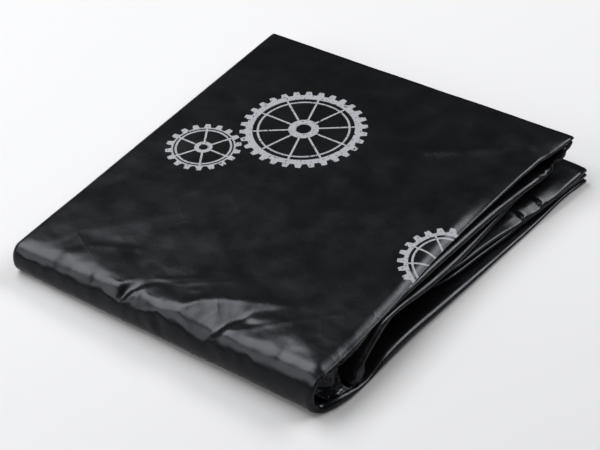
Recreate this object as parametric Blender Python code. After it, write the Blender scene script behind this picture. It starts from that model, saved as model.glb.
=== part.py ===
"""Folded bicycle cover: one sheet of thick film, pleated into a strip and then doubled over.

The sheet's section runs back and forth across X in six layers. Three folds stand one above
another on the right (+X) side, and on the left (-X) side one outer fold wraps two inner ones.
That section is carried along the upper leg of the strip, round the front fold (-Y), and back
along the lower leg, which lies on the surface at Z = 0. A Solidify modifier gives the sheet
its thickness.

Sizes in the tables are millimetres; the mesh is built in metres.
"""

import math

import bmesh
import bpy

MM = 0.001

# Driving dimensions.
SHEET = 1.0  # thickness of the sheet
LAYERS = 6  # layers in one leg of the strip
LEFT_END = -120.9  # where the layers end and the left folds begin
LEFT_SKEW = -0.011  # the left side drifts outwards by this much per millimetre of Y
WRAP_DEPTH = 3.7  # how far the outer left fold stands out past LEFT_END
INNER_FOLD_START = 1.2  # the inner left folds begin this far inside LEFT_END
LEFT_HEIGHT_FRONT = 22.0  # height of the whole packet at its left side, front and back
LEFT_HEIGHT_BACK = 24.2
LEG_GAP = 1.7  # space between the two legs at the left side
FRONT = -147.0  # the outermost point of the front fold
FRONT_FLATTEN = 0.72  # depth of the front fold as a share of its half height
FRONT_SQUARENESS = 3.0  # exponent of the front fold's superellipse; 2 is a plain ellipse
FRONT_TUCK = 4.0  # the right folds draw in by this much half way round the front fold
UPPER_BACK = (143.6, 147.6)  # Y of the upper leg's end, at the left and at the right
LOWER_BACK = (146.5, 150.2)  # Y of the lower leg's end, at the left and at the right
BACK_STAGGER = 0.35  # each layer of the upper leg ends this much short of the one above
REST_BAND = 0.05  # the underside is flat wherever it comes this close to the surface

# The right-hand folds, outermost first, at stations along Y. "outer" is the height of the
# fold's outer layer where it reaches the fold, "opening" is how much wider than FOLD_PITCH
# the fold's loop is there, and "reach" is the fold's outermost X.
FOLD_COLUMNS = ("y", "outer", "opening", "reach")
UPPER_FOLDS = (
    (
        (-140, 32.2, 0.3, 112.8),
        (-114, 32.8, 0.3, 113.5),
        (-98, 33.1, 0.3, 113.8),
        (-53, 33.5, 0.3, 112.9),
        (-15, 33.5, 0.3, 110.8),
        (10, 33.5, 0.3, 110.4),
        (44, 33.6, 0.3, 111.3),
        (91, 34.1, 0.3, 113.7),
        (118, 34.7, 0.3, 117.2),
        (148, 35.5, 0.3, 122.3),
    ),
    (
        (-140, 28.2, 0.4, 111.0),
        (-114, 28.7, 0.6, 113.0),
        (-98, 29.0, 0.6, 113.4),
        (-53, 29.1, 0.6, 113.6),
        (-15, 28.6, 1.2, 114.0),
        (18, 28.0, 2.6, 114.2),
        (44, 28.4, 4.4, 115.2),
        (75, 29.4, 6.6, 116.8),
        (100, 30.4, 8.2, 118.6),
        (125, 31.2, 8.8, 120.6),
        (148, 31.9, 8.6, 121.8),
    ),
    (
        (-140, 21.8, 0.4, 112.0),
        (-86, 22.8, 0.6, 113.6),
        (-53, 21.8, 0.8, 114.6),
        (-30, 19.6, 0.8, 115.4),
        (0, 18.0, 0.4, 116.0),
        (30, 17.6, 0.3, 115.4),
        (60, 17.0, 0.4, 114.4),
        (100, 17.0, 0.4, 114.0),
        (148, 18.6, 0.4, 115.0),
    ),
)
LOWER_FOLDS = (
    (
        (-140, 0.5, 0.4, 109.8),
        (-134, 0.5, 0.4, 114.8),
        (-126, 0.5, 0.4, 118.2),
        (-116, 0.5, 0.5, 120.3),
        (-100, 0.5, 1.2, 120.9),
        (-78, 0.5, 5.0, 121.6),
        (-50, 0.5, 4.8, 122.2),
        (-25, 0.5, 3.4, 123.5),
        (0, 0.5, 2.4, 124.8),
        (28, 0.5, 1.6, 126.2),
        (56, 0.5, 0.8, 127.6),
        (83, 0.5, 0.5, 129.2),
        (100, 0.5, 0.4, 129.8),
        (128, 0.5, 0.4, 130.8),
        (150, 0.5, 0.4, 134.0),
    ),
    (
        (-140, 4.6, 0.4, 108.0),
        (-115, 4.6, 0.4, 106.0),
        (-90, 4.6, 0.4, 100.0),
        (-50, 4.6, 0.4, 99.0),
        (-20, 4.6, 0.4, 106.0),
        (5, 6.4, 0.3, 115.0),
        (32, 6.2, 0.3, 118.8),
        (60, 5.2, 0.4, 122.2),
        (77, 4.8, 0.4, 123.8),
        (100, 4.8, 0.4, 127.0),
        (150, 4.9, 0.6, 133.6),
    ),
    (
        (-140, 9.2, 0.4, 112.0),
        (-108, 9.2, 0.4, 113.0),
        (-92, 9.2, 0.4, 107.0),
        (-75, 8.8, 0.4, 99.0),
        (-50, 8.6, 0.4, 97.0),
        (-15, 10.0, 0.3, 108.0),
        (15, 10.9, 0.3, 115.6),
        (40, 10.4, 0.3, 118.6),
        (60, 9.4, 0.4, 121.4),
        (85, 8.7, 0.8, 124.6),
        (110, 8.9, 1.0, 127.8),
        (150, 9.2, 1.4, 133.4),
    ),
)
FOLD_PITCH = 2.0  # distance between the two layers of one fold
UPPER_OPENS_FROM = (0.90, 0.60, 0.85)  # share of the way across where each loop opens
LOWER_OPENS_FROM = (0.935, 0.90, 0.80)
RIM_BULGE = 1.4  # how far a right fold bulges, in half heights of its loop
MOST_BULGE = 3.2  # and no further than this

# How far each layer turns down behind the outermost one: at the left side, then at the right
# side on the upper leg and on the lower leg. The innermost layers turn down on a slant.
BEND_SETBACK = (
    (0.0, 0.0, 0.0),
    (0.4, 0.6, 0.6),
    (0.8, 7.0, 9.0),
    (1.2, 9.0, 11.0),
    (1.6, 54.0, 30.0),
    (2.0, 62.0, 45.0),
)
SETBACK_POWER = 4.0  # keeps the deep setbacks close to the right side
SLANT_RATE = 1.3  # how much sooner than the turn itself a slanted bend gets to its lower end

# Soft creases of the outer face: a line from (x0, y0) to (x1, y1), its height and half width.
# Past the front edge Y goes on down the front fold as unrolled length.
CREASE_COLUMNS = ("x0", "y0", "x1", "y1", "height", "width")
CREASES = (
    (-112, -132, -56, -124, 1.3, 11.0),
    (-22, -150, -8, -120, 2.0, 9.0),
    (16, -152, 40, -114, 2.3, 10.0),
    (58, -150, 74, -104, 2.0, 9.0),
    (-96, -110, -36, -90, 1.0, 12.0),
    (80, -50, 94, 8, 1.1, 12.0),
    (36, 78, 84, 106, 1.2, 11.0),
    (-30, -60, 30, -20, 0.7, 16.0),
)

# Resolution of the mesh.
OUTER_ACROSS = (0, 0.08, 0.17, 0.26, 0.35, 0.44, 0.52, 0.6, 0.68, 0.76, 0.83, 0.89, 0.94, 1)
INNER_ACROSS = (0, 0.2, 0.42, 0.62, 0.78, 0.9, 0.95, 1)
LEG_SHARES = (0, 0.08, 0.17, 0.26, 0.35, 0.44, 0.53, 0.62, 0.71, 0.8, 0.87, 0.92, 0.96, 1)
FOLD_STEPS = 4
WRAP_STEPS = 8
BEND_STEPS = 9


def mix(low, high, share):
    return low + (high - low) * share


def smooth(share):
    share = min(1.0, max(0.0, share))
    return share * share * (3.0 - 2.0 * share)


def fold_row(table, y):
    """The table's columns at y, on a smooth curve through its rows."""
    last = len(table) - 1
    y = min(table[last][0], max(table[0][0], y))
    n = max(i for i in range(last) if table[i][0] <= y)
    before, here = table[max(n - 1, 0)], table[n]
    after, beyond = table[n + 1], table[min(n + 2, last)]
    span = after[0] - here[0]
    t = (y - here[0]) / span
    found = {}
    for i, column in enumerate(FOLD_COLUMNS):
        slope_in = (after[i] - before[i]) / (after[0] - before[0]) * span
        slope_out = (beyond[i] - here[i]) / (beyond[0] - here[0]) * span
        found[column] = (
            (2 * t**3 - 3 * t**2 + 1) * here[i]
            + (t**3 - 2 * t**2 + t) * slope_in
            + (-2 * t**3 + 3 * t**2) * after[i]
            + (t**3 - t**2) * slope_out
        )
    return found


def fold_at(layer, y, upper):
    folds = UPPER_FOLDS if upper else LOWER_FOLDS
    return fold_row(folds[(layer - 1) // 2], y)


def left_height(y):
    share = (y - FRONT) / (UPPER_BACK[0] - FRONT)
    return mix(LEFT_HEIGHT_FRONT, LEFT_HEIGHT_BACK, share)


def left_layer_height(layer, y, upper):
    """Height of a layer's middle at the left side; layer 1 is the outermost."""
    half = left_height(y) / 2
    outer, inner = half - SHEET / 2, LEG_GAP / 2 + SHEET / 2
    off_middle = mix(outer, inner, (layer - 1) / (LAYERS - 1))
    return half + off_middle if upper else half - off_middle


def layer_height(layer, y, upper, across):
    """Height of a layer's middle; the loop between a fold's two layers opens at the rim."""
    row = fold_at(layer, y, upper)
    inward = -1 if upper else 1
    right = row["outer"]
    if layer % 2 == 0:
        opens_from = (UPPER_OPENS_FROM if upper else LOWER_OPENS_FROM)[(layer - 1) // 2]
        open_share = smooth((across - opens_from) / (1 - opens_from))
        right += inward * (FOLD_PITCH + row["opening"] * open_share)
    return mix(left_layer_height(layer, y, upper), right, across)


def middle_height(y, across):
    """Height of the surface half way between the two legs."""
    upper = layer_height(LAYERS, y, True, across)
    return (upper + layer_height(LAYERS, y, False, across)) / 2


def rim_bulge(row):
    return min(RIM_BULGE * (FOLD_PITCH + row["opening"]) / 2, MOST_BULGE)


def layer_end(layer, y, upper):
    """X where a layer runs into its right-hand fold."""
    row = fold_at(layer, y, upper)
    return row["reach"] - rim_bulge(row) - SHEET / 2


def crease_height(point, x, y):
    """How far the creases lift a point of the outer layer at (x, y); other layers stay."""
    if point.layer != 1 or point.next_layer != 1:
        return 0.0
    total = 0.0
    for x0, y0, x1, y1, height, width in CREASES:
        along_x, along_y = x1 - x0, y1 - y0
        share = ((x - x0) * along_x + (y - y0) * along_y) / (along_x**2 + along_y**2)
        nearest = min(1.0, max(0.0, share))
        away = math.hypot(x - x0 - nearest * along_x, y - y0 - nearest * along_y)
        total += height * math.exp(-((away / width) ** 2))
    return total * smooth(point.across / 0.1) * smooth((1 - point.across) / 0.1)


class SectionPoint:
    """One point of the sheet's section: the layers it lies between, and how far across."""

    def __init__(self, layer, next_layer, blend, across, bulge):
        self.layer = layer
        self.next_layer = next_layer
        self.blend = blend  # 0 on layer, 1 on next_layer
        self.across = across  # 0 at the left side, 1 at the right side
        self.bulge = bulge  # 0 on a layer, up to 1 at the outermost point of a fold

    def in_wrap(self):
        return {self.layer, self.next_layer} == {1, LAYERS}


def fold_points(layer, next_layer, across, steps):
    """The points inside a fold, from one layer to the next."""
    found = []
    for i in range(1, steps):
        turn = math.pi * i / steps
        blend = (1 - math.cos(turn)) / 2
        found.append(SectionPoint(layer, next_layer, blend, across, math.sin(turn)))
    return found


def section_points():
    """The closed section, back and forth through the six layers and round the outer wrap."""
    found = []
    for layer in range(1, LAYERS + 1):
        to_right = layer % 2 == 1
        shares = OUTER_ACROSS if layer == 1 else INNER_ACROSS
        for across in shares if to_right else reversed(shares):
            found.append(SectionPoint(layer, layer, 0.0, across, 0.0))
        if layer < LAYERS:
            found += fold_points(layer, layer + 1, 1.0 if to_right else 0.0, FOLD_STEPS)
    found += fold_points(LAYERS, 1, 0.0, WRAP_STEPS)
    return found


def point_x(point, y, upper):
    left = LEFT_END + LEFT_SKEW * (y - FRONT)
    if point.in_wrap():
        return left - WRAP_DEPTH * point.bulge
    if point.layer not in (1, LAYERS) or point.next_layer not in (1, LAYERS):
        left += INNER_FOLD_START
    first = layer_end(point.layer, y, upper)
    right = mix(first, layer_end(point.next_layer, y, upper), point.blend)
    if point.across == 1.0:
        return right + point.bulge * rim_bulge(fold_at(point.layer, y, upper))
    rise = layer_height(point.layer, y, upper, point.across) - layer_height(
        point.next_layer, y, upper, point.across
    )
    return mix(left, right, point.across) - point.bulge * abs(rise) / 2


def heights(point, y, upper):
    """Heights of the point, of the middle surface there and of the outer layer there."""
    first = layer_height(point.layer, y, upper, point.across)
    second = layer_height(point.next_layer, y, upper, point.across)
    middle = middle_height(y, point.across)
    outer = layer_height(1, y, upper, point.across)
    return mix(first, second, point.blend), middle, outer


def bend_setback(point, upper):
    share = point.across**SETBACK_POWER
    first, second = BEND_SETBACK[point.layer - 1], BEND_SETBACK[point.next_layer - 1]
    side = 1 if upper else 2
    return mix(
        mix(first[0], first[side], share), mix(second[0], second[side], share), point.blend
    )


def bend_start(point, upper):
    """Y where a point's layer leaves the flat legs and turns into the front fold."""
    _, middle, outer = heights(point, FRONT + 14, True)
    depth = FRONT_FLATTEN * (outer - middle + SHEET / 2)
    return FRONT + depth + bend_setback(point, upper)


def back_end(point, upper):
    if not upper:
        return mix(*LOWER_BACK, point.across)
    depth = mix(point.layer, point.next_layer, point.blend) - 1
    return mix(*UPPER_BACK, point.across) - BACK_STAGGER * depth


def leg_position(point, share, upper):
    """A point on a leg; share runs from 0 at the back end to 1 at the front fold."""
    y = mix(back_end(point, upper), bend_start(point, upper), share)
    z = heights(point, y, upper)[0]
    x = point_x(point, y, upper)
    if upper:
        z += crease_height(point, x, y)
    return x, y, z


def power(value, exponent):
    return math.copysign(abs(value) ** exponent, value)


def bend_position(point, turn):
    """A point on the front fold; turn runs from 0 at the upper leg to pi at the lower one."""
    blend = (1 - math.cos(turn)) / 2
    slant = (1 - math.cos(min(math.pi, SLANT_RATE * turn))) / 2
    y_upper, y_lower = bend_start(point, True), bend_start(point, False)
    z_upper, middle_upper, outer_upper = heights(point, y_upper, True)
    z_lower, middle_lower, outer_lower = heights(point, y_lower, False)
    middle = mix(middle_upper, middle_lower, blend)
    off = mix(z_upper - middle_upper, middle_lower - z_lower, blend)
    outer = mix(outer_upper - middle_upper, middle_lower - outer_lower, blend)
    x = mix(point_x(point, y_upper, True), point_x(point, y_lower, False), blend)
    x -= FRONT_TUCK * point.across**2 * math.sin(turn)
    y = mix(y_upper, y_lower, slant)
    fading = (1 + math.cos(turn)) / 2
    off += crease_height(point, x, y - turn * outer) * fading
    exponent = 2 / FRONT_SQUARENESS
    return (
        x,
        y - off * FRONT_FLATTEN * power(math.sin(turn), exponent),
        middle + off * power(math.cos(turn), exponent),
    )


def sheet_rows():
    """Rows of points, one for each station from the upper back end to the lower back end."""
    section = section_points()
    rows = [[leg_position(point, share, True) for point in section] for share in LEG_SHARES]
    for i in range(1, BEND_STEPS):
        rows.append([bend_position(point, math.pi * i / BEND_STEPS) for point in section])
    for share in reversed(LEG_SHARES):
        rows.append([leg_position(point, share, False) for point in section])
    return rows


def build_sheet(name, material):
    mesh_maker = bmesh.new()
    rows = [
        [mesh_maker.verts.new([MM * value for value in point]) for point in row]
        for row in sheet_rows()
    ]
    for row, after in zip(rows, rows[1:]):
        for i in range(len(row)):
            j = (i + 1) % len(row)
            mesh_maker.faces.new((row[i], row[j], after[j], after[i]))
    bmesh.ops.recalc_face_normals(mesh_maker, faces=mesh_maker.faces)
    mesh = bpy.data.meshes.new(name)
    mesh_maker.to_mesh(mesh)
    mesh_maker.free()
    mesh.materials.append(material)
    mesh.shade_smooth()
    sheet = bpy.data.objects.new(name, mesh)
    bpy.context.scene.collection.objects.link(sheet)
    thick = sheet.modifiers.new("Thickness", "SOLIDIFY")
    thick.thickness = SHEET * MM
    thick.offset = 0.0
    return sheet


def press_flat(sheet):
    """Applies the thickness, and presses the underside flat where it all but touches Z = 0."""
    graph = bpy.context.evaluated_depsgraph_get()
    mesh = bpy.data.meshes.new_from_object(sheet.evaluated_get(graph))
    sheet.modifiers.clear()
    sheet.data = mesh
    for vertex in mesh.vertices:
        if vertex.co.z < REST_BAND * MM:
            vertex.co.z = 0.0


def black_film():
    material = bpy.data.materials.new("black_film")
    material.use_nodes = True
    surface = material.node_tree.nodes["Principled BSDF"]
    surface.inputs["Base Color"].default_value = (0.012, 0.013, 0.015, 1.0)
    surface.inputs["Roughness"].default_value = 0.36
    surface.inputs["Metallic"].default_value = 0.0
    return material


def clear_scene():
    for item in list(bpy.data.objects):
        bpy.data.objects.remove(item)


clear_scene()
press_flat(build_sheet("folded_cover", black_film()))
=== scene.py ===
"""Folded bicycle cover, visual model: one sheet of thin black film on the folds of the solid.

The sheet's section runs back and forth across X in six layers, is carried along the upper leg
of the packet, round the front fold (-Y) and back along the lower leg. The sheet's own sizes are
in millimetres, and the studio's in metres.
"""

import math

import bpy
import numpy as np
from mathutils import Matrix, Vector, noise
from mathutils.geometry import delaunay_2d_cdt


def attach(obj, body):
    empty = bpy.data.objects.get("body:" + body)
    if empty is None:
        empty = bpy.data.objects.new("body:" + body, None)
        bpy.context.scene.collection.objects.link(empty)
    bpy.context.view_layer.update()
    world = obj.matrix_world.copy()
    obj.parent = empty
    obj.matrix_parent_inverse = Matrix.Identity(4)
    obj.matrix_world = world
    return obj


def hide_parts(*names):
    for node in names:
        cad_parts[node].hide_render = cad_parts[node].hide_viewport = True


MM = 0.001

# Driving dimensions.
FILM = 0.4  # thickness of the film
LAYERS = 6  # layers in one leg of the strip
LEFT_END = -120.9  # where the layers end and the left folds begin
LEFT_SKEW = -0.011  # the left side drifts outwards by this much per millimetre of Y
WRAP_DEPTH = 4.0  # how far the outer left fold stands out past LEFT_END
INNER_FOLD_START = 1.2  # the inner left folds begin this far inside LEFT_END
LEFT_HEIGHT_FRONT = 22.0  # height of the whole packet at its left side, front and back
LEFT_HEIGHT_BACK = 24.2
LEG_GAP = 1.7  # space between the two legs at the left side
FRONT = -147.0  # the outermost point of the front fold
FRONT_FLATTEN = 0.72  # depth of the front fold as a share of its half height
FRONT_SQUARENESS = 2.2  # exponent of the front fold's superellipse; 2 is a plain ellipse
FRONT_TUCK = (4.0, -1.0)  # draw-in of the right folds half way round it: outermost, innermost
UPPER_BACK = (143.6, 147.6)  # Y of the upper leg's end, at the left and at the right
LOWER_BACK = (146.5, 150.2)  # Y of the lower leg's end, at the left and at the right
BACK_STAGGER = 0.35  # each layer of the upper leg ends this much short of the one above

# The right-hand folds, outermost first, at stations along Y. "outer" and "inner" are the
# heights of the fold's two layers where they reach the fold, the one nearer the packet's top or
# bottom first, and "reach" is the fold's outermost X.
FOLD_COLUMNS = ("y", "outer", "inner", "reach")
UPPER_FOLDS = (
    (
        (-140, 32.6, 31.0, 112.8),
        (-114, 33.2, 31.8, 113.5),
        (-98, 33.5, 32.1, 113.8),
        (-53, 33.9, 32.5, 112.9),
        (-15, 33.9, 32.4, 110.8),
        (10, 33.9, 32.3, 110.4),
        (44, 34.0, 32.2, 111.3),
        (91, 34.5, 32.1, 113.7),
        (106, 34.7, 31.9, 115.0),
        (117, 34.5, 31.4, 115.6),
        (126, 35.2, 32.2, 118.4),
        (148, 35.9, 34.0, 122.3),
    ),
    (
        (-140, 29.0, 16.5, 111.0),
        (-113, 29.2, 17.3, 112.2),
        (-104, 29.6, 19.0, 112.4),
        (-97, 29.8, 20.8, 112.4),
        (-90, 30.0, 22.8, 112.3),
        (-84, 29.9, 25.4, 112.0),
        (-74, 29.8, 26.2, 111.8),
        (-53, 30.0, 26.5, 112.2),
        (-30, 29.7, 25.9, 112.9),
        (-7, 29.2, 25.1, 113.4),
        (16, 28.4, 24.1, 114.2),
        (39, 27.6, 23.2, 114.9),
        (63, 26.4, 21.9, 115.8),
        (75, 25.4, 21.0, 116.5),
        (99, 23.4, 19.2, 118.0),
        (118, 22.8, 18.9, 120.2),
        (124, 23.0, 19.6, 121.0),
        (131, 26.6, 21.6, 121.6),
        (138, 30.2, 24.6, 122.2),
        (144, 32.6, 28.6, 122.4),
        (148, 33.4, 31.0, 122.4),
    ),
    (
        (-140, 15.6, 13.4, 110.0),
        (-113, 16.4, 14.2, 112.0),
        (-104, 18.0, 15.6, 113.0),
        (-90, 21.6, 19.0, 113.4),
        (-84, 24.2, 20.9, 113.5),
        (-74, 25.6, 22.2, 113.5),
        (-54, 25.0, 21.7, 113.9),
        (-32, 22.2, 18.0, 115.0),
        (-10, 20.4, 16.0, 116.0),
        (14, 19.2, 14.8, 116.3),
        (33, 18.6, 14.3, 115.9),
        (60, 18.0, 14.2, 114.8),
        (100, 17.5, 14.2, 114.0),
        (148, 18.6, 16.2, 115.0),
    ),
)
LOWER_FOLDS = (
    (
        (-140, 0.2, 4.0, 109.8),
        (-134, 0.2, 5.6, 114.8),
        (-126, 0.2, 6.6, 118.2),
        (-116, 0.2, 5.4, 120.3),
        (-104, 0.2, 2.4, 120.8),
        (-94, 0.2, 3.2, 121.1),
        (-78, 0.2, 7.0, 121.6),
        (-50, 0.2, 6.8, 122.2),
        (-25, 0.2, 5.6, 123.5),
        (0, 0.2, 4.6, 124.8),
        (28, 0.2, 3.6, 126.2),
        (56, 0.2, 2.8, 127.6),
        (83, 0.2, 2.4, 129.2),
        (100, 0.2, 2.3, 129.8),
        (128, 0.2, 2.3, 130.8),
        (150, 0.2, 2.3, 134.0),
    ),
    (
        (-140, 5.0, 8.8, 109.6),
        (-134, 6.4, 8.8, 113.8),
        (-126, 7.3, 8.8, 117.0),
        (-117, 6.2, 8.2, 118.9),
        (-110, 4.4, 6.2, 118.4),
        (-103, 3.1, 4.6, 116.4),
        (-94, 4.2, 5.8, 108.0),
        (-80, 5.0, 7.0, 101.0),
        (-50, 4.6, 6.6, 99.0),
        (-20, 4.6, 6.6, 106.0),
        (5, 6.4, 8.4, 115.0),
        (32, 6.2, 8.2, 118.8),
        (60, 5.2, 7.2, 122.2),
        (77, 4.8, 6.8, 123.8),
        (100, 4.8, 6.8, 127.0),
        (150, 4.9, 7.2, 133.6),
    ),
    (
        (-140, 9.6, 11.6, 109.6),
        (-126, 9.4, 11.6, 114.6),
        (-117, 8.9, 11.4, 117.6),
        (-110, 6.8, 9.8, 119.2),
        (-103, 5.3, 8.0, 119.4),
        (-94, 6.9, 9.2, 115.0),
        (-85, 8.6, 10.8, 105.0),
        (-72, 8.8, 11.0, 99.0),
        (-50, 8.6, 10.6, 97.0),
        (-15, 10.0, 12.0, 108.0),
        (15, 10.9, 12.9, 115.6),
        (40, 10.4, 12.6, 118.8),
        (60, 9.4, 11.8, 121.8),
        (85, 8.7, 11.4, 125.8),
        (110, 8.7, 11.6, 129.6),
        (150, 8.9, 12.0, 133.4),
    ),
)
UPPER_OPENS_FROM = (0.94, 0.74, 0.80)  # share of the way across where each fold's layers part
LOWER_OPENS_FROM = (0.935, 0.90, 0.86)
RIM_BULGE = 1.4  # how far a right fold bulges, in half heights of its loop
MOST_BULGE = 3.2  # and no further than this
UPPER_ROLL = ((20, 2.2), (90, 0.4))  # Y, and how far the upper leg's top layer rolls down there
LOWER_ROLL = ((56, 0.2), (72, 1.6), (112, 1.5), (124, 0.5))  # and the lower leg's
ROLL_FROM = 0.966  # share of the way across where they begin to
ROLL_SHARE = 0.8  # the layer below rolls down by this share of it

# How far each layer turns down behind the outermost one: at the left side, then at the right
# side on the upper leg and on the lower leg. The innermost layers turn down on a slant.
BEND_SETBACK = (
    (0.0, 0.0, 0.0),
    (0.4, 2.0, 2.0),
    (0.8, 6.4, 6.4),
    (1.2, 22.0, 20.0),
    (1.6, 64.0, 26.0),
    (2.0, 74.0, 42.0),
)
SETBACK_POWER = 4.0  # keeps the deep setbacks close to the right side
SLANT_RATE = 1.3  # how much sooner than the turn itself a slanted bend gets to its lower end
BEND_STATION = 14.0  # the bend's depth follows from the heights this far behind FRONT

# The relief of the top, as facets between corner points at these heights above the plain face.
# Columns: x, y, height.
RELIEF = (
    (-140, 160, 0.0),
    (-70, 160, 0.0),
    (0, 160, 0.0),
    (70, 160, 0.0),
    (140, 160, 0.0),
    (-140, -160, 0.0),
    (-100, -160, 0.0),
    (-60, -160, 0.0),
    (-30, -160, 0.3),
    (-3, -160, -0.6),
    (30, -160, 0.0),
    (70, -160, 0.4),
    (140, -160, 0.0),
    (-140, -100, 0.0),
    (-96, -112, 0.8),
    (-72, -126, 1.0),
    (-58, -104, -0.2),
    (-41, -140, 1.5),
    (-36, -138, -1.3),
    (-30, -124, 0.3),
    (-22, -139, 0.6),
    (-14, -126, 0.0),
    (-9, -140, 1.0),
    (-3, -143, 1.2),
    (9, -128, 2.4),
    (22, -118, 2.8),
    (36, -111, 2.6),
    (46, -113, 0.3),
    (43, -122, -1.0),
    (34, -143, -3.0),
    (39, -144, 0.6),
    (50, -119, 0.5),
    (64, -97, 0.5),
    (52, -124, -0.2),
    (66, -110, 0.7),
    (60, -138, -0.3),
    (80, -118, 1.2),
    (83, -140, -0.9),
    (98, -124, 0.6),
    (100, -138, -0.3),
    (104, -96, 0.0),
    (90, -60, 0.2),
    (104, -20, 0.0),
    (84, 20, 0.2),
    (60, -40, -0.3),
    (0, -80, 0.4),
    (-50, -60, 0.5),
    (-100, -40, -0.2),
    (20, -20, -0.3),
    (-30, 20, 0.4),
    (-90, 60, 0.3),
    (40, 60, 0.4),
    (-20, 110, -0.2),
    (60, 78, 0.0),
    (88, 108, 0.5),
    (100, 104, 0.0),
    (108, 116, -0.7),
    (108, 126, 0.6),
    (90, 130, 0.2),
)
RELIEF_BLUR = 2.4  # the facets meet in bends about this wide
BLUR_SPOKES = 6  # the heights are averaged over the middle and two rings of this many places
BLUR_INNER = 0.6  # radius of the inner ring as a share of the outer one
SAME_CORNER = 1e-6  # corners this close count as one
FACET_SLACK = 1e-9  # a place this little outside a facet still counts as on it
CHAMFER_WIDTH = 17.0  # the top face rounds off towards the front fold over this length
CHAMFER_DEPTH = 4.2  # and has sunk by this much where it meets the fold
CHAMFER_ENDS = (-126.0, 120.0)  # X of its ends
CHAMFER_RUN_IN = 34.0  # it comes on over this length from either end
TOP_RIGHT = (113.0, 33.5)  # X and height of the top's right rim, which scale the relief

# Creases of the outer face: a line from (x0, y0) to (x1, y1), its height and half width. Here y
# runs over the front fold as if it were laid out flat. Columns: x0, y0, x1, y1, height, width.
CREASES = (
    (-37, -146, -25, -126, -0.9, 1.6),
    (-34, -146, -22, -127, 0.6, 2.0),
    (0, -146, 14, -122, 0.8, 2.0),
    (33, -146, 48, -120, 0.9, 1.8),
    (36, -144, 92, -88, 0.4, 1.5),
    (-6, -150, -3, -157, -1.5, 3.4),
    (-24, -121, 4, -104, 0.35, 1.6),
    (-10, -118, 22, -98, 0.3, 1.6),
    (-80, -118, -52, -104, 0.3, 2.4),
    (2, -119, 6, -117, 0.4, 1.2),
    (49, 81, 88, 108, 1.5, 3.4),
    (82, -140, 80, -116, -0.5, 2.0),
)

CREASE_SHAPE = 1.4  # exponent of a crease's section: 1 is a sharp ridge, 2 a round one
CREASE_FADE = 0.5  # a crease loses this share of its height towards its far end

# Wrinkles all over the outer face. Columns: wavelength, depth, depth at the front, seed.
WRINKLES = (
    (52.0, 0.35, 0.2, 1.7),
    (19.0, 0.10, 0.30, 8.3),
    (8.0, 0.03, 0.12, 5.1),
)
FRONT_WRINKLES_FROM = -85.0  # the wrinkles deepen from here towards the front
FRONT_WRINKLES_OVER = 45.0
RIM_FADE = 0.03  # they fade out over this share of the way across, at either side
UNDER_FADE_ROWS = 8  # and over this many rows at the bottom of the front fold
FINER = 2.2  # the second layer of any noise is this much finer than the first
RIPPLE_FINE_SHARE = 0.5  # and in a ripple it is this much as deep
RIDGE_SHARES = (0.7, 0.3)  # the broad and the fine ridges' shares of ridged noise

# Puckers along the front fold.
PUCKER_DEPTH = 2.0
PUCKER_SIZE = 12.0
PUCKER_SEED = 4.5
PUCKER_LEVEL = 0.5  # where the ridged noise has this value, the face stays as it is
PUCKER_REACH = 9.0  # they fade over this length either side of the fold's edge
PUCKER_MIDDLE = -24.0  # X where they are deepest
PUCKER_SPREAD = 50.0
PUCKER_LEAST = 0.3  # share of their depth away from there

# Crumples of the inner layers at the front fold's open right end and, weaker, at the back right
# corner of the upper leg: wavelength, depth and seed.
END_CRUMPLES = (
    (16.0, 2.4, 2.3),
    (8.0, 1.6, 9.1),
)
END_CRUMPLE_SEED = 11  # without it, noise_vector would give other crumples on each run
END_CRUMPLE_FROM = (98.0, -98.0, 104.0)  # X, and front and back Y, where they begin
END_CRUMPLE_OVER = 16.0  # the length over which they come on
END_CRUMPLE_BACK = 0.6  # strength at the back corner
END_CRUMPLE_BACK_FROM = 16.0  # height where they begin there
END_CRUMPLE_OUTER = 0.15  # strength on the outermost layer
END_CRUMPLE_INNER_FROM = 3  # and this many layers further in they have their full strength
END_CRUMPLE_RISE = 8.0  # they come on over this height above the floor
END_DENT = 6.0  # the inner folds' rims are dented inwards by up to this much
END_DENT_SIZE = 8.0  # by dents of this size
END_DENT_SEED = 3.4
END_DENT_FROM = 0.94  # share of the way across where the dents begin
END_DENT_LEAST = 0.5  # only layers crumpled more strongly than this are dented

# The hem's steps across the top of the lower leg, as lines of (x, y) corners.
HEMS = (
    ((108.0, 90.0), (113.0, 98.0), (120.0, 101.6), (126.0, 99.6), (130.0, 94.0)),
    ((106.0, 70.0), (112.0, 77.0), (117.0, 82.6), (122.0, 81.6), (127.0, 75.0)),
)
HEM_STEP = 1.4
HEM_RISE = 1.2  # length of the slope up each step
HEM_FADE = 16.0  # and the length over which it sinks back
HEM_FROM = 80.0  # X where the hems begin

# Resolution of the mesh: steps across the outer layer, shares of the way across the others, and
# steps along the legs and round the folds.
OUTER_STEPS = 118
INNER_ACROSS = (0, 0.2, 0.4, 0.56, 0.7, 0.8, 0.87, 0.9, 0.92, 0.94, 0.955, 0.97, 0.985, 1)
UPPER_STEPS = 118
FRONT_BIAS = 0.45  # the upper leg's rows crowd towards the front by this share
LOWER_ROWS = 35  # rows along the lower leg, and again as many across the hems
HEM_SHARES = (0.19, 0.345)  # the hems lie between these shares of the way along it
RIGHT_FOLD_STEPS = 9
LEFT_FOLD_STEPS = 4
WRAP_STEPS = 12
BEND_STEPS = 22

# The film's colours.
FILM_COLOUR = (0.0022, 0.0023, 0.0027, 1.0)
SCUFF_COLOUR = (0.022, 0.022, 0.024, 1.0)
PRINT_COLOUR = (0.165, 0.167, 0.178, 1.0)
SHEEN_TINT = (0.86, 0.9, 1.0, 1.0)  # the film's gloss is slightly blue
FILM_GLOSS = 0.17

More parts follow.
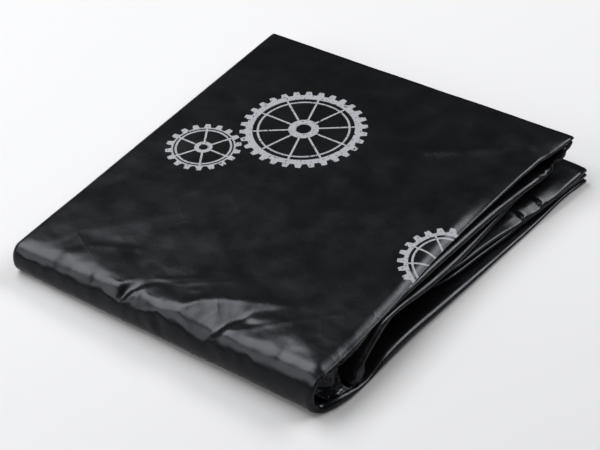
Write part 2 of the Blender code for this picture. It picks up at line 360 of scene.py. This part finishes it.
# The print's generic gears. Columns: x, y, radius, teeth, arms.
GEARS = (
    (-38.0, 58.0, 44.0, 30.0, 10.0),
    (-84.0, 5.0, 26.0, 18.0, 6.0),
    (122.0, -8.0, 34.0, 24.0, 10.0),
)
TOOTH_DEPTH = 4.0
TOOTH_SQUARENESS = 2.5
ARM_WIDTH = 1.4
GEAR_RING = 0.80  # inner radius of the toothed ring, as a share of the gear's radius
GEAR_THIN_RING = 0.70
GEAR_HUB = 0.24
GEAR_BORE = 0.12
PRINT_EDGE = 0.4  # the print's edges are soft over this length

# The film's surface detail: size and detail of each noise, and then the range that it is read
# over, as from low to high and onto what values.
FLECKS = (1.6, 3.0)  # specks worn off the print
FLECK_RANGE = (0.34, 0.40, 0.0, 1.0)
OUTER_RANGE = (0.55, 0.65, 0.0, 1.0)  # the print stops on the fold at the outer layer's rim
SCUFFS = (4.2, 5.0)  # scuffs on the folds
SCUFF_RANGE = (0.5, 0.75, 0.0, 0.7)
GLOSS_BLOTCHES = (18.0, 4.0)
GLOSS_RANGE = (0.3, 0.7)
FILM_ROUGHNESS = (0.22, 0.34)
PRINT_ROUGHER = 0.15
FINE_WRINKLES = (11.8, 3.0)
CREASE_NET = 29.4  # the straight creases run along the edges of cells of this size
CREASE_LINE = (0.0, 0.05, 1.0, 0.0)  # a crease's section, in units of its cell
CREASE_PATCHES = (38.5, 2.0)  # the straight creases show in patches of this noise
PATCH_RANGE = (0.48, 0.62, 0.0, 0.22)
END_FACET = 9.5  # size of the sharp facets at the crumpled ends
FACET_DEPTH = 8.0  # in units of BUMP_DEPTH
BUMP_DEPTH = 0.6
BUMP_STRENGTH = 0.3

# Camera: it looks at the origin from this azimuth, elevation and distance in metres.
CAMERA_AZIMUTH = 35.3
CAMERA_ELEVATION = 40.0
CAMERA_DISTANCE = 1.335
LENS = 120.0
SENSOR = 36.0

# Studio, in metres. Columns: name, azimuth, elevation, distance, width, depth, watts.
SOFTBOXES = (
    ("overhead", 277.0, 60.0, 1.5, 1.4, 0.85, 46.0),
    ("front", 335.0, 30.0, 1.7, 1.3, 0.9, 20.0),
    ("behind", 151.0, 45.0, 1.6, 1.2, 0.5, 30.0),
)
WORLD_COLOUR = (0.9, 0.95, 1.0, 1.0)
WORLD_STRENGTH = 0.05
FLOOR_REACH = 6.0  # the floor goes this far each way from the origin
FLOOR_COLOUR = (0.34, 0.34, 0.345, 1.0)
FLOOR_ROUGHNESS = 0.9


def mix(low, high, share):
    return low + (high - low) * share


def smooth(share):
    share = min(1.0, max(0.0, share))
    return share * share * (3.0 - 2.0 * share)


def fold_row(table, y):
    """The table's columns at y, on a smooth curve through its rows."""
    last = len(table) - 1
    y = min(table[last][0], max(table[0][0], y))
    n = max(i for i in range(last) if table[i][0] <= y)
    before, here = table[max(n - 1, 0)], table[n]
    after, beyond = table[n + 1], table[min(n + 2, last)]
    span = after[0] - here[0]
    t = (y - here[0]) / span
    found = {}
    for i, column in enumerate(FOLD_COLUMNS):
        slope_in = (after[i] - before[i]) / (after[0] - before[0]) * span
        slope_out = (beyond[i] - here[i]) / (beyond[0] - here[0]) * span
        found[column] = (
            (2 * t**3 - 3 * t**2 + 1) * here[i]
            + (t**3 - 2 * t**2 + t) * slope_in
            + (-2 * t**3 + 3 * t**2) * after[i]
            + (t**3 - t**2) * slope_out
        )
    return found


def fold_at(layer, y, upper):
    folds = UPPER_FOLDS if upper else LOWER_FOLDS
    return fold_row(folds[(layer - 1) // 2], y)


def left_height(y):
    share = (y - FRONT) / (UPPER_BACK[0] - FRONT)
    return mix(LEFT_HEIGHT_FRONT, LEFT_HEIGHT_BACK, share)


def left_layer_height(layer, y, upper):
    """Height of a layer's middle at the left side; layer 1 is the outermost."""
    half = left_height(y) / 2
    outer, inner = half - FILM / 2, LEG_GAP / 2 + FILM / 2
    off_middle = mix(outer, inner, (layer - 1) / (LAYERS - 1))
    return half + off_middle if upper else half - off_middle


def layer_height(layer, y, upper, across):
    """Height of a layer's middle; near the rims the layers part from an even stack."""
    row = fold_at(layer, y, upper)
    right = row["outer"] if layer % 2 == 1 else row["inner"]
    outermost = fold_at(1, y, upper)["outer"]
    innermost = fold_at(LAYERS, y, upper)["inner"]
    stacked = mix(outermost, innermost, (layer - 1) / (LAYERS - 1))
    opens_from = (UPPER_OPENS_FROM if upper else LOWER_OPENS_FROM)[(layer - 1) // 2]
    open_share = smooth((across - opens_from) / (1 - opens_from))
    height = mix(left_layer_height(layer, y, upper), stacked, across)
    height += (right - stacked) * open_share
    return height - rolled_down(layer, y, upper, across)


def rolled_down(layer, y, upper, across):
    """How far a layer is rolled down near its right rim; only each leg's top fold is."""
    below_top = layer - 1 if upper else LAYERS - layer
    if below_top > 1 or across <= ROLL_FROM:
        return 0.0
    stations, depths = zip(*(UPPER_ROLL if upper else LOWER_ROLL))
    at_rim = np.interp(y, stations, depths) * ROLL_SHARE**below_top
    return at_rim * ((across - ROLL_FROM) / (1 - ROLL_FROM)) ** 2


def middle_height(y, across):
    """Height of the surface half way between the two legs."""
    upper = layer_height(LAYERS, y, True, across)
    return (upper + layer_height(LAYERS, y, False, across)) / 2


def rim_bulge(row):
    return min(RIM_BULGE * abs(row["outer"] - row["inner"]) / 2, MOST_BULGE)


def layer_end(layer, y, upper):
    """X where a layer runs into its right-hand fold."""
    row = fold_at(layer, y, upper)
    return row["reach"] - rim_bulge(row) - FILM / 2


class SectionPoint:
    """One point of the sheet's section: the layers it lies between, and how far across."""

    def __init__(self, layer, next_layer, blend, across, bulge):
        self.layer = layer
        self.next_layer = next_layer
        self.blend = blend  # 0 on layer, 1 on next_layer
        self.across = across  # 0 at the left side, 1 at the right side
        self.bulge = bulge  # 0 on a layer, up to 1 at the outermost point of a fold

    def in_wrap(self):
        return {self.layer, self.next_layer} == {1, LAYERS}


def fold_points(layer, next_layer, across, steps):
    """The points inside a fold, from one layer to the next."""
    found = []
    for i in range(1, steps):
        turn = math.pi * i / steps
        blend = (1 - math.cos(turn)) / 2
        found.append(SectionPoint(layer, next_layer, blend, across, math.sin(turn)))
    return found


def section_points():
    """The closed section, back and forth through the six layers and round the outer wrap."""
    found = []
    outer_across = [i / OUTER_STEPS for i in range(OUTER_STEPS + 1)]
    for layer in range(1, LAYERS + 1):
        to_right = layer % 2 == 1
        shares = outer_across if layer == 1 else INNER_ACROSS
        for across in shares if to_right else reversed(shares):
            found.append(SectionPoint(layer, layer, 0.0, across, 0.0))
        if layer < LAYERS:
            steps = RIGHT_FOLD_STEPS if to_right else LEFT_FOLD_STEPS
            found += fold_points(layer, layer + 1, 1.0 if to_right else 0.0, steps)
    found += fold_points(LAYERS, 1, 0.0, WRAP_STEPS)
    return found


def point_x(point, y, upper):
    left = LEFT_END + LEFT_SKEW * (y - FRONT)
    if point.in_wrap():
        return left - WRAP_DEPTH * point.bulge
    if point.layer not in (1, LAYERS) or point.next_layer not in (1, LAYERS):
        left += INNER_FOLD_START
    first = layer_end(point.layer, y, upper)
    right = mix(first, layer_end(point.next_layer, y, upper), point.blend)
    if point.across == 1.0:
        return right + point.bulge * rim_bulge(fold_at(point.layer, y, upper))
    rise = layer_height(point.layer, y, upper, point.across) - layer_height(
        point.next_layer, y, upper, point.across
    )
    return mix(left, right, point.across) - point.bulge * abs(rise) / 2


def heights(point, y, upper):
    """Heights of the point, of the middle surface there and of the outer layer there."""
    first = layer_height(point.layer, y, upper, point.across)
    second = layer_height(point.next_layer, y, upper, point.across)
    middle = middle_height(y, point.across)
    outer = layer_height(1, y, upper, point.across)
    return mix(first, second, point.blend), middle, outer


def bend_setback(point, upper):
    share = point.across**SETBACK_POWER
    first, second = BEND_SETBACK[point.layer - 1], BEND_SETBACK[point.next_layer - 1]
    side = 1 if upper else 2
    return mix(
        mix(first[0], first[side], share), mix(second[0], second[side], share), point.blend
    )


def bend_start(point, upper):
    """Y where a point's layer leaves the flat legs and turns into the front fold."""
    _, middle, outer = heights(point, FRONT + BEND_STATION, True)
    depth = FRONT_FLATTEN * (outer - middle + FILM / 2)
    return FRONT + depth + bend_setback(point, upper)


def back_end(point, upper):
    if not upper:
        return mix(*LOWER_BACK, point.across)
    depth = mix(point.layer, point.next_layer, point.blend) - 1
    return mix(*UPPER_BACK, point.across) - BACK_STAGGER * depth


def leg_position(point, share, upper):
    """A point on a leg; share runs from 0 at the back end to 1 at the front fold."""
    y = mix(back_end(point, upper), bend_start(point, upper), share)
    z = heights(point, y, upper)[0]
    return point_x(point, y, upper), y, z


def power(value, exponent):
    return math.copysign(abs(value) ** exponent, value)


def bend_position(point, turn):
    """A point on the front fold; turn runs from 0 at the upper leg to pi at the lower one."""
    blend = (1 - math.cos(turn)) / 2
    slant = (1 - math.cos(min(math.pi, SLANT_RATE * turn))) / 2
    y_upper, y_lower = bend_start(point, True), bend_start(point, False)
    z_upper, middle_upper, _ = heights(point, y_upper, True)
    z_lower, middle_lower, _ = heights(point, y_lower, False)
    middle = mix(middle_upper, middle_lower, blend)
    off = mix(z_upper - middle_upper, middle_lower - z_lower, blend)
    x = mix(point_x(point, y_upper, True), point_x(point, y_lower, False), blend)
    depth = (mix(point.layer, point.next_layer, point.blend) - 1) / (LAYERS - 1)
    x -= mix(*FRONT_TUCK, depth) * point.across**2 * math.sin(turn)
    y = mix(y_upper, y_lower, slant)
    exponent = 2 / FRONT_SQUARENESS
    return (
        x,
        y - off * FRONT_FLATTEN * power(math.sin(turn), exponent),
        middle + off * power(math.cos(turn), exponent),
    )


def sheet_grid(section):
    """Rows of points, one for each station from the upper back end to the lower back end."""
    rows = []
    for i in range(UPPER_STEPS + 1):
        even = i / UPPER_STEPS
        share = even + FRONT_BIAS * even * (1 - even)
        rows.append([leg_position(point, share, True) for point in section])
    for i in range(1, BEND_STEPS):
        rows.append([bend_position(point, math.pi * i / BEND_STEPS) for point in section])
    lower_shares = np.union1d(np.linspace(0, 1, LOWER_ROWS), np.linspace(*HEM_SHARES, LOWER_ROWS))
    for share in reversed(lower_shares):
        rows.append([leg_position(point, share, False) for point in section])
    return np.array(rows)


def facet_heights(x, y):
    """Heights at the places x, y on the flat triangles that join the relief's corner points."""
    corners = [Vector(row[:2]) for row in RELIEF]
    found = delaunay_2d_cdt(corners, [], [], 0, SAME_CORNER)
    places, triangles, sources = found[0], found[2], found[3]
    lifts = [RELIEF[source[0]][2] for source in sources]
    heights_there = np.zeros(x.shape)
    for a, b, c in triangles:
        (ax, ay), (bx, by), (cx, cy) = places[a], places[b], places[c]
        twice_area = (by - cy) * (ax - cx) + (cx - bx) * (ay - cy)
        share_a = ((by - cy) * (x - cx) + (cx - bx) * (y - cy)) / twice_area
        share_b = ((cy - ay) * (x - cx) + (ax - cx) * (y - cy)) / twice_area
        share_c = 1 - share_a - share_b
        inside = np.minimum(np.minimum(share_a, share_b), share_c) >= -FACET_SLACK
        lift = share_a * lifts[a] + share_b * lifts[b] + share_c * lifts[c]
        heights_there[inside] = lift[inside]
    return heights_there


def blur_places():
    """The places round a point, in units of RELIEF_BLUR, that its height is averaged over."""
    places = [(0.0, 0.0)]
    for shift, radius in ((0.0, BLUR_INNER), (0.5, 1.0)):
        for i in range(BLUR_SPOKES):
            angle = math.tau * (i + shift) / BLUR_SPOKES
            places.append((math.cos(angle) * radius, math.sin(angle) * radius))
    return places


def relief(x, y):
    """The facets with their edges softened, and the round-off above the front fold."""
    ring = blur_places()
    total = sum(facet_heights(x + RELIEF_BLUR * dx, y + RELIEF_BLUR * dy) for dx, dy in ring)
    into = np.clip(1 - (y - FRONT) / CHAMFER_WIDTH, 0, 1)
    to_end = np.minimum(x - CHAMFER_ENDS[0], CHAMFER_ENDS[1] - x)
    from_end = np.clip(to_end / CHAMFER_RUN_IN, 0, 1)
    return total / len(ring) - CHAMFER_DEPTH * into**2 * (1 - (1 - from_end) ** 2)


def warp(grid):
    """Lifts or lowers everything under the outer face's relief in proportion to its height."""
    x, y, z = grid[..., 0], grid[..., 1], grid[..., 2]
    across = np.clip((x - LEFT_END) / (TOP_RIGHT[0] - LEFT_END), 0, 1)
    top = mix(LEFT_HEIGHT_FRONT, TOP_RIGHT[1], across)
    grid[..., 2] = z * (1 + relief(x, y) / top)


def unrolled(patch):
    """Y of each point as if the front fold were laid out flat in front of the top face."""
    steps = np.linalg.norm(np.diff(patch, axis=0), axis=2)
    laid_out = patch[..., 1].copy()
    laid_out[1:] = patch[0, :, 1] - np.cumsum(steps, axis=0)
    return laid_out


def outward(patch):
    """Unit normals of a patch of rows that run from back to front and points that run to +X."""
    along = np.gradient(patch, axis=0)
    across = np.gradient(patch, axis=1)
    found = np.cross(across, -along)
    return found / np.linalg.norm(found, axis=2, keepdims=True)


def crease_heights(x, y):
    total = np.zeros(x.shape)
    for x0, y0, x1, y1, height, width in CREASES:
        along_x, along_y = x1 - x0, y1 - y0
        share = ((x - x0) * along_x + (y - y0) * along_y) / (along_x**2 + along_y**2)
        nearest = np.clip(share, 0, 1)
        away = np.hypot(x - x0 - nearest * along_x, y - y0 - nearest * along_y)
        ridge = np.exp(-((away / width) ** CREASE_SHAPE))
        total += height * ridge * (1 - CREASE_FADE * nearest)
    return total


def ripple(x, y, wavelength, seed):
    """Smooth noise between about -1 and 1."""
    place = Vector((x / wavelength, y / wavelength, seed))
    return noise.noise(place) + RIPPLE_FINE_SHARE * noise.noise(place * FINER)


def ridged(x, y, wavelength, seed):
    """Noise with sharp ridges, mostly between 0 and 1."""
    place = Vector((x / wavelength, y / wavelength, seed))
    broad = 1 - 2 * abs(noise.noise(place))
    fine = 1 - 2 * abs(noise.noise(place * FINER))
    return RIDGE_SHARES[0] * broad + RIDGE_SHARES[1] * fine


def wrinkle_height(x, y):
    nearness = smooth((FRONT_WRINKLES_FROM - y) / FRONT_WRINKLES_OVER)
    return sum(
        mix(depth, depth_at_front, nearness) * ripple(x, y, wavelength, seed)
        for wavelength, depth, depth_at_front, seed in WRINKLES
    )


def pucker_height(x, y):
    near_fold = math.exp(-(((y - FRONT) / PUCKER_REACH) ** 2))
    busiest = smooth(1 - abs(x - PUCKER_MIDDLE) / PUCKER_SPREAD)
    depth = PUCKER_DEPTH * near_fold * mix(PUCKER_LEAST, 1.0, busiest)
    return depth * (ridged(x, y, PUCKER_SIZE, PUCKER_SEED) - PUCKER_LEVEL)


def crinkle(grid):
    """Presses the creases, wrinkles and puckers into the outer layer, along its normals."""
    patch = grid[: UPPER_STEPS + BEND_STEPS + 1, : OUTER_STEPS + 1]
    x, y = patch[..., 0], unrolled(patch)
    lift = crease_heights(x, y)
    for index in np.ndindex(x.shape):
        lift[index] += wrinkle_height(x[index], y[index])
        lift[index] += pucker_height(x[index], y[index])
    across = np.linspace(0, 1, OUTER_STEPS + 1)
    rows_left = np.arange(patch.shape[0])[::-1]
    lift *= np.clip(across / RIM_FADE, 0, 1) * np.clip((1 - across) / RIM_FADE, 0, 1)
    lift *= np.clip(rows_left / UNDER_FADE_ROWS, 0, 1)[:, None]
    patch += outward(patch) * lift[..., None]


def hem_weight(point):
    """1 on the innermost layer, which is the top of the lower leg, and 0 on the others."""
    return sum(
        weight
        for layer, weight in ((point.layer, 1 - point.blend), (point.next_layer, point.blend))
        if layer == LAYERS
    )


def hem_lift(x, y):
    lift = 0.0
    for hem in HEMS:
        line_y = np.interp(x, [corner[0] for corner in hem], [corner[1] for corner in hem])
        beyond = y - line_y
        lift += smooth(beyond / HEM_RISE) * (1 - smooth(beyond / HEM_FADE))
    return HEM_STEP * lift * smooth((x - HEM_FROM) / HEM_FADE)


def press_hems(grid, section):
    """Raises the steps that the hem makes across the top of the lower leg."""
    weights = [hem_weight(point) for point in section]
    for row in grid[UPPER_STEPS + BEND_STEPS :]:
        for place, weight in zip(row, weights):
            place[2] += weight * hem_lift(place[0], place[1])


def end_strength(y, z):
    """How strongly the open right ends are crumpled at this place."""
    _, front_y, back_y = END_CRUMPLE_FROM
    at_front = smooth((front_y - y) / END_CRUMPLE_OVER) * smooth((z - FILM) / END_CRUMPLE_RISE)
    at_back = smooth((y - back_y) / END_CRUMPLE_OVER)
    at_back *= smooth((z - END_CRUMPLE_BACK_FROM) / END_CRUMPLE_RISE)
    return at_front + END_CRUMPLE_BACK * at_back


def crumple_end(grid, section):
    """Pushes the inner layers' open right ends about in smooth small crumples and dents."""
    noise.seed_set(END_CRUMPLE_SEED)
    for i, point in enumerate(section):
        depth_in = mix(point.layer, point.next_layer, point.blend) - 1
        inner = mix(END_CRUMPLE_OUTER, 1.0, min(1.0, depth_in / END_CRUMPLE_INNER_FROM))
        dented = smooth((point.across - END_DENT_FROM) / (1 - END_DENT_FROM))
        dented *= inner > END_DENT_LEAST
        for place in grid[:, i]:
            _, y, z = place
            strength = end_strength(y, z)
            if strength == 0:
                continue
            beyond = smooth((place[0] - END_CRUMPLE_FROM[0]) / END_CRUMPLE_OVER)
            for wavelength, depth, seed in END_CRUMPLES:
                push = noise.noise_vector(Vector(place / wavelength) + Vector((seed, 0, 0)))
                place += strength * inner * beyond * depth * np.array(push)
            dent = 1 - ridged(y, z, END_DENT_SIZE, END_DENT_SEED)
            place[0] -= END_DENT * strength * dented * dent


def crumple_shares(grid, section):
    """How strongly each point of the inner layers' open ends is crumpled."""
    shares = []
    for row in grid:
        for point, (_, y, z) in zip(section, row):
            inner = point.across > END_DENT_FROM and point.layer > 1
            shares.append(end_strength(y, z) if inner else 0.0)
    return shares


def outer_share(point):
    """1 on the outer layer, falling to 0 through the fold at its right rim."""
    if point.layer == 1:
        return 1 - point.blend
    return 0.0


def tag_points(mesh, name, values):
    tags = mesh.attributes.new(name, "FLOAT", "POINT")
    tags.data.foreach_set("value", values)


def build_sheet(name, material):
    section = section_points()
    grid = sheet_grid(section)
    press_hems(grid, section)
    crumple_end(grid, section)
    warp(grid)
    crinkle(grid)
    count_rows, count_points = grid.shape[:2]
    faces = []
    for row in range(count_rows - 1):
        for i in range(count_points):
            j = (i + 1) % count_points
            first, after = row * count_points, (row + 1) * count_points
            faces.append((first + i, after + i, after + j, first + j))
    mesh = bpy.data.meshes.new(name)
    mesh.from_pydata((grid.reshape(-1, 3) * MM).tolist(), [], faces)
    mesh.materials.append(material)
    mesh.shade_smooth()
    tag_points(mesh, "outer_face", [outer_share(point) for point in section] * count_rows)
    tag_points(mesh, "fold_rim", [point.bulge for point in section] * count_rows)
    tag_points(mesh, "crumpled", crumple_shares(grid, section))
    sheet = bpy.data.objects.new(name, mesh)
    bpy.context.scene.collection.objects.link(sheet)
    thick = sheet.modifiers.new("Thickness", "SOLIDIFY")
    thick.thickness = FILM * MM
    thick.offset = 0.0
    return sheet


class Nodes:
    """Builds up a material's nodes; a value is a number or another node's output."""

    def __init__(self, name):
        self.material = bpy.data.materials.new(name)
        self.material.use_nodes = True
        self.tree = self.material.node_tree
        self.surface = self.tree.nodes["Principled BSDF"]

    def add(self, kind):
        return self.tree.nodes.new(kind)

    def plug(self, value, socket):
        if isinstance(value, (int, float, tuple)):
            socket.default_value = value
        else:
            self.tree.links.new(value, socket)

    def math(self, operation, *values):
        node = self.add("ShaderNodeMath")
        node.operation = operation
        for value, socket in zip(values, node.inputs):
            self.plug(value, socket)
        return node.outputs["Value"]

    def edge(self, value):
        """1 where the value is positive and 0 where it isn't, soft over PRINT_EDGE."""
        soft = self.math("MULTIPLY_ADD", value, 1 / PRINT_EDGE, 0.5)
        return self.math("MINIMUM", self.math("MAXIMUM", soft, 0.0), 1.0)

    def between(self, value, low, high):
        above = self.edge(self.math("SUBTRACT", value, low))
        return self.math("MULTIPLY", above, self.edge(self.math("SUBTRACT", high, value)))

    def noise(self, size, detail):
        """Noise between 0 and 1, with its largest blotches about this size."""
        node = self.add("ShaderNodeTexNoise")
        node.inputs["Scale"].default_value = 1 / (size * MM)
        node.inputs["Detail"].default_value = detail
        self.plug(self.add("ShaderNodeTexCoord").outputs["Object"], node.inputs["Vector"])
        return node.outputs["Fac"]

    def from_edges(self, size):
        """Distance to the straight edges of a net of uneven cells of about this size."""
        node = self.add("ShaderNodeTexVoronoi")
        node.feature = "DISTANCE_TO_EDGE"
        node.inputs["Scale"].default_value = 1 / (size * MM)
        self.plug(self.add("ShaderNodeTexCoord").outputs["Object"], node.inputs["Vector"])
        return node.outputs["Distance"]

    def spread(self, value, low, high, to_low, to_high):
        """Maps low to high onto to_low to to_high, and holds it within them."""
        node = self.add("ShaderNodeMapRange")
        for amount, socket in zip((value, low, high, to_low, to_high), node.inputs):
            self.plug(amount, socket)
        return node.outputs["Result"]

    def tag(self, name):
        node = self.add("ShaderNodeAttribute")
        node.attribute_name = name
        return node.outputs["Fac"]

    def blend(self, share, first, second):
        """The colour that lies this share of the way from the first to the second."""
        node = self.add("ShaderNodeMixRGB")
        self.plug(share, node.inputs["Fac"])
        self.plug(first, node.inputs["Color1"])
        self.plug(second, node.inputs["Color2"])
        return node.outputs["Color"]


def gear_mask(nodes, x, y, gear):
    """1 inside one printed gear: its toothed ring, thin inner ring, arms and hub.

    The print is flat, so every radius and width here lies in the plane of the top.
    """
    centre_x, centre_y, radius, teeth, arms = gear
    dx = nodes.math("SUBTRACT", x, centre_x)
    dy = nodes.math("SUBTRACT", y, centre_y)
    squares = nodes.math("ADD", nodes.math("MULTIPLY", dx, dx), nodes.math("MULTIPLY", dy, dy))
    away = nodes.math("SQRT", squares)
    angle = nodes.math("ARCTAN2", dy, dx)
    wave = nodes.math("COSINE", nodes.math("MULTIPLY", angle, teeth))
    wave = nodes.math("MULTIPLY", wave, TOOTH_SQUARENESS)
    tooth = nodes.math("MINIMUM", nodes.math("MAXIMUM", wave, -1.0), 1.0)
    rim = nodes.math("MULTIPLY_ADD", tooth, TOOTH_DEPTH / 2, radius - TOOTH_DEPTH / 2)
    ring = nodes.between(away, GEAR_RING * radius, rim)
    thin = nodes.between(away, GEAR_THIN_RING * radius, GEAR_THIN_RING * radius + ARM_WIDTH)
    turn = nodes.math("SINE", nodes.math("MULTIPLY", angle, arms / 2))
    aside = nodes.math("MULTIPLY", nodes.math("ABSOLUTE", turn), away)
    arm = nodes.edge(nodes.math("SUBTRACT", ARM_WIDTH * arms / 4, aside))
    reach = nodes.between(away, GEAR_BORE * radius, GEAR_RING * radius)
    hub = nodes.between(away, GEAR_BORE * radius, GEAR_HUB * radius)
    arm = nodes.math("MULTIPLY", arm, reach)
    rings = nodes.math("MAXIMUM", ring, thin)
    return nodes.math("MAXIMUM", nodes.math("MAXIMUM", rings, arm), hub)


def print_mask(nodes):
    """1 where the outer face is printed: the gears, less the flecks worn off them."""
    scaled = nodes.add("ShaderNodeVectorMath")
    scaled.operation = "SCALE"
    scaled.inputs["Scale"].default_value = 1 / MM
    nodes.plug(nodes.add("ShaderNodeTexCoord").outputs["Object"], scaled.inputs[0])
    split = nodes.add("ShaderNodeSeparateXYZ")
    nodes.plug(scaled.outputs["Vector"], split.inputs[0])
    mask = 0.0
    for gear in GEARS:
        printed = gear_mask(nodes, split.outputs["X"], split.outputs["Y"], gear)
        mask = nodes.math("MAXIMUM", mask, printed)
    kept = nodes.spread(nodes.noise(*FLECKS), *FLECK_RANGE)
    outer = nodes.spread(nodes.tag("outer_face"), *OUTER_RANGE)
    return nodes.math("MULTIPLY", nodes.math("MULTIPLY", mask, kept), outer)


def film_bump(nodes):
    """Fine wrinkles everywhere, a few straight creases, and sharp facets at the crumpled ends."""
    creases = nodes.spread(nodes.from_edges(CREASE_NET), *CREASE_LINE)
    patches = nodes.spread(nodes.noise(*CREASE_PATCHES), *PATCH_RANGE)
    height = nodes.math("MULTIPLY_ADD", creases, patches, nodes.noise(*FINE_WRINKLES))
    facets = nodes.math("MULTIPLY", nodes.from_edges(END_FACET), nodes.tag("crumpled"))
    height = nodes.math("MULTIPLY_ADD", facets, -FACET_DEPTH, height)
    bump = nodes.add("ShaderNodeBump")
    bump.inputs["Strength"].default_value = BUMP_STRENGTH
    bump.inputs["Distance"].default_value = BUMP_DEPTH * MM
    nodes.plug(height, bump.inputs["Height"])
    return bump.outputs["Normal"]


def film_material():
    """Black film with fine wrinkles, scuffs on its folds and the print."""
    nodes = Nodes("black_film")
    surface = nodes.surface
    surface.inputs["Specular IOR Level"].default_value = FILM_GLOSS
    surface.inputs["Specular Tint"].default_value = SHEEN_TINT
    scuffs = nodes.spread(nodes.noise(*SCUFFS), *SCUFF_RANGE)
    scuffed = nodes.math("MULTIPLY", scuffs, nodes.tag("fold_rim"))
    worn = nodes.blend(scuffed, FILM_COLOUR, SCUFF_COLOUR)
    printed = print_mask(nodes)
    nodes.plug(nodes.blend(printed, worn, PRINT_COLOUR), surface.inputs["Base Color"])
    gloss = nodes.spread(nodes.noise(*GLOSS_BLOTCHES), *GLOSS_RANGE, *FILM_ROUGHNESS)
    rough = nodes.math("MULTIPLY_ADD", printed, PRINT_ROUGHER, gloss)
    nodes.plug(rough, surface.inputs["Roughness"])
    nodes.plug(film_bump(nodes), surface.inputs["Normal"])
    return nodes.material


def floor_material():
    material = bpy.data.materials.new("floor")
    material.use_nodes = True
    surface = material.node_tree.nodes["Principled BSDF"]
    surface.inputs["Base Color"].default_value = FLOOR_COLOUR
    surface.inputs["Roughness"].default_value = FLOOR_ROUGHNESS
    surface.inputs["Specular IOR Level"].default_value = 0.0
    return material


def build_floor():
    reach = FLOOR_REACH
    mesh = bpy.data.meshes.new("floor")
    corners = [(-reach, -reach, 0), (reach, -reach, 0), (reach, reach, 0), (-reach, reach, 0)]
    mesh.from_pydata(corners, [], [(0, 1, 2, 3)])
    mesh.materials.append(floor_material())
    floor = bpy.data.objects.new("floor", mesh)
    bpy.context.scene.collection.objects.link(floor)


def direction(azimuth, elevation):
    """Unit vector towards a place seen at this azimuth from -Y towards +X, and elevation."""
    turn, rise = math.radians(azimuth), math.radians(elevation)
    return Vector(
        (math.sin(turn) * math.cos(rise), -math.cos(turn) * math.cos(rise), math.sin(rise))
    )


def aim(thing, azimuth, elevation, distance):
    """Puts a camera or a light on a sphere round the origin, looking at the origin."""
    towards = direction(azimuth, elevation)
    thing.location = towards * distance
    thing.rotation_euler = towards.to_track_quat("Z", "Y").to_euler()
    bpy.context.scene.collection.objects.link(thing)


def add_softbox(name, azimuth, elevation, distance, width, depth, watts):
    light = bpy.data.lights.new(name, "AREA")
    light.shape = "RECTANGLE"
    light.size = width
    light.size_y = depth
    light.energy = watts
    aim(bpy.data.objects.new(name, light), azimuth, elevation, distance)


def light_studio():
    world = bpy.data.worlds.new("studio")
    world.use_nodes = True
    background = world.node_tree.nodes["Background"]
    background.inputs["Color"].default_value = WORLD_COLOUR
    background.inputs["Strength"].default_value = WORLD_STRENGTH
    bpy.context.scene.world = world
    for softbox in SOFTBOXES:
        add_softbox(*softbox)


def add_camera():
    data = bpy.data.cameras.new("camera")
    data.lens = LENS
    data.sensor_width = SENSOR
    camera = bpy.data.objects.new("camera", data)
    aim(camera, CAMERA_AZIMUTH, CAMERA_ELEVATION, CAMERA_DISTANCE)
    bpy.context.scene.camera = camera


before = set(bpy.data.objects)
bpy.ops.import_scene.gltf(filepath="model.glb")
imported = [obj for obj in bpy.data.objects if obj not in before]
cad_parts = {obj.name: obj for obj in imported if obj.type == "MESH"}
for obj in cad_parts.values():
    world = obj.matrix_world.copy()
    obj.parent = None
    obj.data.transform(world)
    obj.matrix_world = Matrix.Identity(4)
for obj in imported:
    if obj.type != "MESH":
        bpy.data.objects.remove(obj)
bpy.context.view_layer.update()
sheet = build_sheet("cover_film", film_material())
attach(sheet, "root")
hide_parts("folded_cover")
build_floor()
light_studio()
add_camera()
bpy.context.scene.view_settings.view_transform = "Standard"
